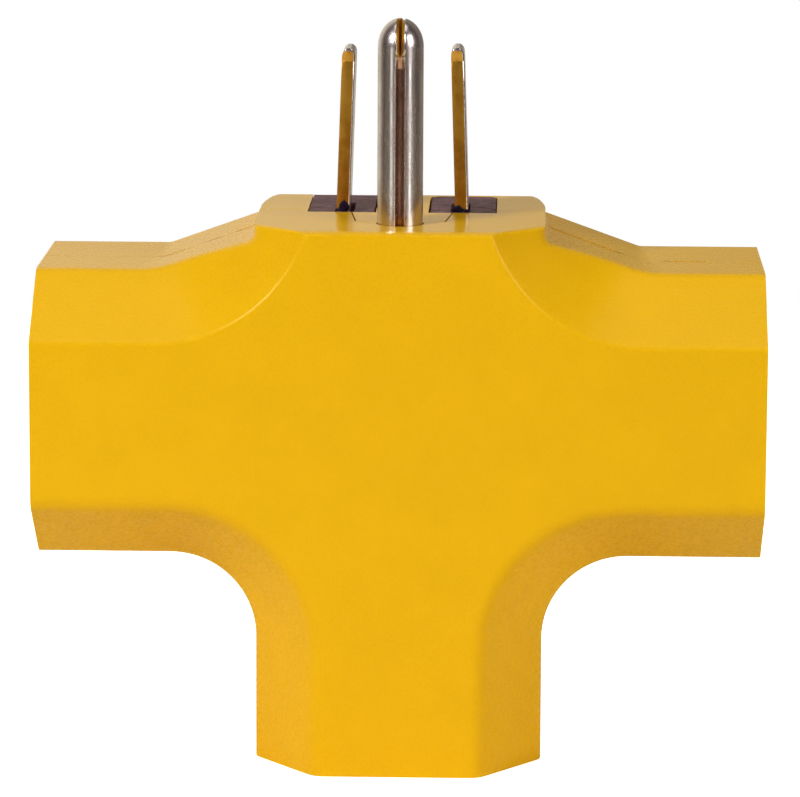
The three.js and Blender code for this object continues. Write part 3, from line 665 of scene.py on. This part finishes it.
def cad_mesh(node, top=None):
    """A CAD node's own shape with its faces merged, up to a height and closed there if one is given."""
    bm = bmesh.new()
    bm.from_mesh(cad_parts[node].data)
    bmesh.ops.remove_doubles(bm, verts=bm.verts, dist=MERGE)
    if top is not None:
        geometry = [*bm.verts, *bm.edges, *bm.faces]
        cut = bmesh.ops.bisect_plane(bm, geom=geometry, dist=0.001 * MM, plane_co=(0, 0, top * MM),
                                     plane_no=(0, 0, 1), clear_outer=True)
        edges = [item for item in cut["geom_cut"] if isinstance(item, bmesh.types.BMEdge)]
        bmesh.ops.holes_fill(bm, edges=edges)
    bmesh.ops.dissolve_limit(bm, angle_limit=FLAT_ANGLE, verts=bm.verts, edges=bm.edges)
    return bm


def refined(node, width, material):
    """A CAD node's own shape with its edges rounded."""
    piece = to_object("fine_" + node, cad_mesh(node))
    rounded(piece, width, 2)
    dressed(piece, material)
    return mounted(piece, node)


FOOT_Z = HEIGHT - 1.0  # below this, a blade and the pin keep their CAD shape
NOSE = 1.38  # height of a blade's worked end, which is chamfered on both edges
CHAMFER = 0.8
CROWN = 0.88  # and of the part of it that is rounded over


def blade_section(x, half, wide):
    """A blade's section, anticlockwise from above: bulged edges, and the right front corner rolled over."""
    bulge, roll = min(0.1, 0.16 * half), min(0.18, 0.3 * half)

    def edge(across):
        return wide - bulge * (across / half) ** 2

    flat = 2 * half - roll
    rear = [half - 2 * half * i / 6 for i in range(7)]
    front = [-half + flat * i / 6 for i in range(7)]
    turns = [math.radians(a) for a in (18, 36, 54, 72, 90)]
    points = [(u, edge(u)) for u in rear] + [(u, -edge(u)) for u in front]
    for a in turns:
        u = half - roll + roll * math.sin(a)
        points.append((u, -edge(u) + roll * (1 - math.cos(a))))
    return [(x + u, BLADE_Y + v) for u, v in points]


def blade(node, side, short):
    """A blade of plated strip: nickel on its broad sides and nose, bare brass on its edges; short is how far below
    its CAD tip it ends."""
    tip = BLADE_TIP - short

    def middle(z):
        return side * (BLADE_X - BLADE_TOE_IN * (z - HEIGHT) / (BLADE_TIP - HEIGHT))

    heights = [FOOT_Z, HEIGHT] + [HEIGHT + (tip - NOSE - HEIGHT) * i / 6 for i in range(1, 7)]
    heights += [tip - down for down in (1.3, 1.1, CROWN, 0.68, 0.5, 0.34, 0.2, 0.1, 0.03)]
    rings = []
    for z in heights:
        worked, over = clamped((z - tip + NOSE) / 1.1), max(0.0, (z - tip + CROWN) / CROWN)
        half = BLADE_HALF * max(0.08, math.sqrt(1 - over ** 2))
        rings.append([(x, y, z) for x, y in blade_section(middle(z), half, BLADE_WIDTH / 2 - CHAMFER * worked)])
    bm = cad_mesh(node, FOOT_Z)
    loft_mesh(bm, rings)
    piece = to_object("plated_" + node, bm)
    dressed(piece, NICKEL, BRASS, smooth_angle=30.0)

    def bare(centre, normal):
        rolled = normal.y < 0 and centre.x - middle(centre.z) > BLADE_HALF - 0.2
        return int(abs(normal.y) > 0.7 and centre.z < tip - 0.3 and not rolled)

    painted(piece, bare)
    return mounted(piece, node)


DOME = 3.0  # height of the pin's rounded end
SLOT_DEPTH = 3.75
SEAM_LIP = 0.066
# Half of each cut's section: across, and inwards from the pin's front
SLOT_PROFILE = ((0.5, -1.0), (0.5, 0.05), (0.44, 0.1), (0.16, 0.26), (0.12, 0.34), (0.1, 2.2))
SEAM_PROFILE = ((0.56, -0.1), (0.56, 0.066), (0.47, 0.12), (0.37, 0.24), (0.28, 0.42), (0.2, 0.62), (0.1, 0.6),
                (0.0, 0.56))


def pin_radius(z):
    return PIN_RADIUS * math.sqrt(1 - clamped((z - PIN_TOP + DOME) / DOME) ** 2)


def pin_cut(levels, profile):
    """A cutter down the pin's front that follows its outline, with how wide and deep it is at each height."""
    bm = bmesh.new()
    rings = []
    for z, wide, deep in levels:
        front = PIN_Y - pin_radius(z)
        inwards = [y if y <= SEAM_LIP else SEAM_LIP + (y - SEAM_LIP) * deep for x, y in profile]
        deepest = [PIN_Y - 0.25 + 0.01 * i for i in range(len(profile))]
        half = [(x * wide, min(front + y, limit), z) for (x, _), y, limit in zip(profile, inwards, deepest)]
        rings.append(half + [(-x, y, z) for x, y, z in reversed(half) if x > 0])
    loft_mesh(bm, rings)
    return to_object("cut", bm)


def ground_pin():
    """The rolled pin: domed, with a rounded seam down its front that opens at the tip on bare brass."""
    levels = [(PIN_RADIUS, FOOT_Z), (PIN_RADIUS, HEIGHT + 6), (PIN_RADIUS, HEIGHT + 12)]
    levels += [(PIN_RADIUS * math.cos(a), PIN_TOP - DOME + DOME * math.sin(a))
               for a in (math.radians(90 * i / 14) for i in range(14))]
    levels.append((0.06, PIN_TOP))
    bm = bmesh.new()
    loft_mesh(bm, [[(x, y, z) for x, y in ring_plan(r, PIN_Y, 96)] for r, z in levels])
    tall = to_object("plated_ground_pin", bm)
    slot_from = PIN_TOP - SLOT_DEPTH
    seam = [(FOOT_Z - 1, 1.0, 1.0), (slot_from - 1.5, 1.0, 1.0), (slot_from - 1.0, 1.0, 0.84),
            (slot_from - 0.6, 0.96, 0.6), (slot_from - 0.25, 0.9, 0.3), (slot_from + 0.05, 0.85, 0.12)]
    widths = ((0.0, 0.4), (0.45, 0.62), (0.85, 0.78), (1.35, 0.9), (1.85, 1.0), (2.35, 1.0), (2.85, 1.0), (3.25, 1.0),
              (3.55, 1.0), (3.7, 1.0), (4.3, 1.0))
    slot = [(slot_from + up, wide, 1.0) for up, wide in widths]
    notch = bmesh.new()  # a nick in the tip, to the right of the slot
    loft_mesh(notch, [[(0.28, y, PIN_TOP - 0.32), (0.75, y, PIN_TOP + 0.2), (-0.15, y, PIN_TOP + 0.2)]
                      for y in (PIN_Y + 3, PIN_Y - 3)])
    carved(tall, [pin_cut(seam, SEAM_PROFILE), pin_cut(slot, SLOT_PROFILE), to_object("cut", notch)])
    bm = cad_mesh("ground_pin", FOOT_Z)
    bm.from_mesh(tall.data)
    bpy.data.objects.remove(tall)
    piece = to_object("plated_ground_pin", bm)
    dressed(piece, NICKEL, BRASS, WORN)

    def bare(centre, normal):
        inside = pin_radius(centre.z) - math.hypot(centre.x, centre.y - PIN_Y)
        if centre.z < FOOT_Z or centre.y > PIN_Y or abs(centre.x) > 0.5 or inside < 0.05:
            return 0
        return 1 if centre.z > slot_from else 2

    painted(piece, bare)
    return mounted(piece, "ground_pin")


# Near-black lumps at each blade's foot: across from the blade's middle, above the plug face, and radius.
DARK_LUMPS = {-1: ((0.12, 0.5, 0.66), (-0.12, 0.05, 0.55), (-0.62, 0.0, 0.3)),
               1: ((-0.5, 0.2, 0.56), (0.1, -0.05, 0.4), (0.55, -0.05, 0.36))}


def holder():
    """The blades' holder, with near-black lumps at the front of each blade's foot, and painted shade on its walls
    beside each blade's foot and along its rear top edge.
    """
    behind_y = BACK_Y - WINDOW_RIM - 0.3
    bm = cad_mesh("blade_holder")
    for side in (1, -1):
        for across, up, size in DARK_LUMPS[side]:
            centre = Vector((side * BLADE_X + across, BLADE_Y - BLADE_WIDTH / 2 - 0.2, HEIGHT + up))
            made = bmesh.ops.create_icosphere(bm, subdivisions=3, radius=1.0)
            for vert in made["verts"]:
                swell = size * (1 + 0.45 * noise.noise(vert.co * 1.3 + centre))
                vert.co = (centre + Vector((vert.co.x * 0.8, vert.co.y * 0.6, vert.co.z * 1.1)) * swell) * MM
    piece = to_object("fine_blade_holder", bm)

    # A wider rounding on the rear top edge, for a strip of painted shade there.
    def rear_share(edge):
        ends = [vert.co / MM for vert in edge.verts]
        return 1.0 if all(p.z > HOLDER_TOP - 0.1 and p.y > behind_y for p in ends) else 0.15

    rounded(piece, 0.38, 2, 50.0, chosen=rear_share)
    dressed(piece, BROWN, DARK_LUMPS_AND_SHADE)

    # Near-black material on the lumps above the holder, and painted shade on the rear top edge strip and on the walls
    # beside each blade's foot.
    def lumps_and_painted_shade(centre, normal):
        above = centre.z > HOLDER_TOP + 0.005
        behind = centre.y > behind_y and centre.z > HOLDER_TOP - 1.0 and normal.y > 0.5
        beside = (centre.z > HEIGHT - 0.9 and centre.y < WINDOW_FRONT + 0.6 and abs(normal.z) < 0.9
                  and abs(abs(centre.x) - BLADE_X) < 1.2)
        return int(above or behind or beside)

    painted(piece, lumps_and_painted_shade)
    return mounted(piece, "blade_holder")


blade("hot_blade", -1, 0.22)
blade("neutral_blade", 1, 0.1)
ground_pin()
holder()
refined("pin_bridge", 0.08, POLISHED)
refined("strip_carrier", 0.08, BROWN)
for node in ("hot_blade_rivet", "neutral_blade_rivet"):
    refined(node, 0.1, NICKEL)
for node in ("hot_strip", "neutral_strip", "ground_strap"):
    refined(node, 0.08, BRASS)
refined("fibre_barrier", 0.06, FIBRE)
for side in ("bottom", "left", "right"):
    refined("outlet_block_" + side, 0.22, FACE)
    for kind in ("hot", "neutral", "ground"):
        refined(f"{kind}_clip_{side}", 0.07, BRASS)
        refined(f"{kind}_rivet_{side}", 0.07, NICKEL)


# ---- Stage, lights and camera ----

def softbox(name, azimuth, elevation, distance, size, power):
    """An area light that looks at the tap; azimuth 0 is the front, positive to the right."""
    data = bpy.data.lights.new(name, "AREA")
    data.shape = "RECTANGLE"
    data.size, data.size_y = size
    data.energy = power
    light = bpy.data.objects.new(name, data)
    bpy.context.scene.collection.objects.link(light)
    a, e = math.radians(azimuth), math.radians(elevation)
    away = Vector((math.sin(a) * math.cos(e), -math.cos(a) * math.cos(e), math.sin(e)))
    target = Vector((0.0, 0.0, ARM_CENTRE * MM))
    light.location = target + away * distance
    light.rotation_euler = away.to_track_quat("Z", "Y").to_euler()
    light.visible_camera = False


# Azimuth, elevation, distance, size and power
LIGHTS = {
    "left_softbox": (-47, 30, 0.9, (0.17, 0.25), 4.5),
    "right_softbox": (54, 20, 1.5, (0.6, 0.8), 7.6),
    "top_softbox": (0, 78, 1.0, (1.0, 0.6), 2.5),
    "front_fill": (0, 30, 1.4, (1.2, 0.5), 0.5),
    "left_low": (-45, -9, 1.1, (0.16, 0.34), 0.28),
    "right_low": (50, -9, 1.1, (0.14, 0.34), 0.45),
}
for name, setting in LIGHTS.items():
    softbox(name, *setting)


def studio_world():
    """Pale behind the tap, more so to the left, and dark in front of it; white where the camera sees it."""
    world = bpy.data.worlds.new("studio")
    bpy.context.scene.world = world
    nodes = emptied(world)
    direction = nodes.add("ShaderNodeTexCoord").outputs["Generated"]
    split = nodes.add("ShaderNodeSeparateXYZ", {0: direction})
    back = nodes.ramp(split.outputs["Y"], 0.1, 0.7, 0.0, 1.0)
    across = nodes.ramp(split.outputs["X"], -0.14, 0.12, 1.0, 0.0)
    lit = nodes.math("MULTIPLY", back, nodes.math("ADD", nodes.math("MULTIPLY", across, 0.74), 0.26))
    below = nodes.math("MULTIPLY", nodes.ramp(split.outputs["Z"], -0.06, 0.0, 1.0, 0.0),
                       nodes.ramp(nodes.math("ABSOLUTE", split.outputs["X"]), 0.12, 0.3, 1.0, 0.0))
    lit = nodes.math("MAXIMUM", lit, nodes.math("MULTIPLY", back, below))
    level = nodes.ramp(lit, 0.0, 1.0, 0.075, 0.77, smooth=False)
    tint = nodes.blend(nodes.ramp(lit, 0.0, 0.3), (1.0, 0.74, 0.7, 1.0), (1.0, 0.93, 0.78, 1.0))
    room = nodes.add("ShaderNodeBackground", {"Color": tint, "Strength": level})
    seen = nodes.add("ShaderNodeBackground", {"Color": grey(1.0), "Strength": 1.0})
    output = nodes.add("ShaderNodeOutputWorld")
    nodes.put(output.inputs["Surface"], nodes.camera_sees(seen.outputs[0], room.outputs[0]))


def pale_floor():
    """A pale disc under the tap, almost white where the camera sees it."""
    bm = bmesh.new()
    bmesh.ops.create_circle(bm, cap_ends=True, segments=96, radius=0.3)
    floor = to_object("floor", bm)
    material = bpy.data.materials.new("pale_floor")
    nodes = emptied(material)
    paper = nodes.add("ShaderNodeBsdfDiffuse", {"Color": (0.92, 0.89, 0.62, 1.0)})
    glow = nodes.add("ShaderNodeEmission", {"Color": grey(1.0), "Strength": 0.95})
    both = nodes.add("ShaderNodeAddShader", {0: paper.outputs[0], 1: glow.outputs[0]})
    output = nodes.add("ShaderNodeOutputMaterial")
    nodes.put(output.inputs["Surface"], nodes.camera_sees(both.outputs[0], paper.outputs[0]))
    floor.data.materials.append(material)


CAMERA_TURN = (-1.55, 10.46, 0.27)  # yaw, pitch and roll, in degrees
CAMERA_OFFSET = (0.198, 504.4, -8.927)  # from the lens to the pivot, in millimetres: across, ahead and up
LENS = 208.73


def camera():
    """A long lens from a little above, almost straight on."""
    yaw, pitch, roll = [math.radians(angle) for angle in CAMERA_TURN]
    pivot = Vector((0.0, BLADE_Y, HEIGHT - 30.0)) * MM
    offset = Vector(CAMERA_OFFSET) * MM
    turned = Matrix.Rotation(roll, 3, "Y") @ Matrix.Rotation(pitch, 3, "X") @ Matrix.Rotation(yaw, 3, "Z")
    back = turned.transposed()
    right, ahead, up = back.col
    data = bpy.data.cameras.new("camera")
    data.sensor_width = 36.0
    data.lens = LENS
    data.clip_start, data.clip_end = 0.01, 20.0
    made = bpy.data.objects.new("camera", data)
    bpy.context.scene.collection.objects.link(made)
    place = Matrix((right, up, -ahead)).transposed().to_4x4()
    place.translation = pivot - back @ offset
    made.matrix_world = place
    bpy.context.scene.camera = made


studio_world()
pale_floor()
camera()
bpy.context.scene.view_settings.view_transform = "Standard"
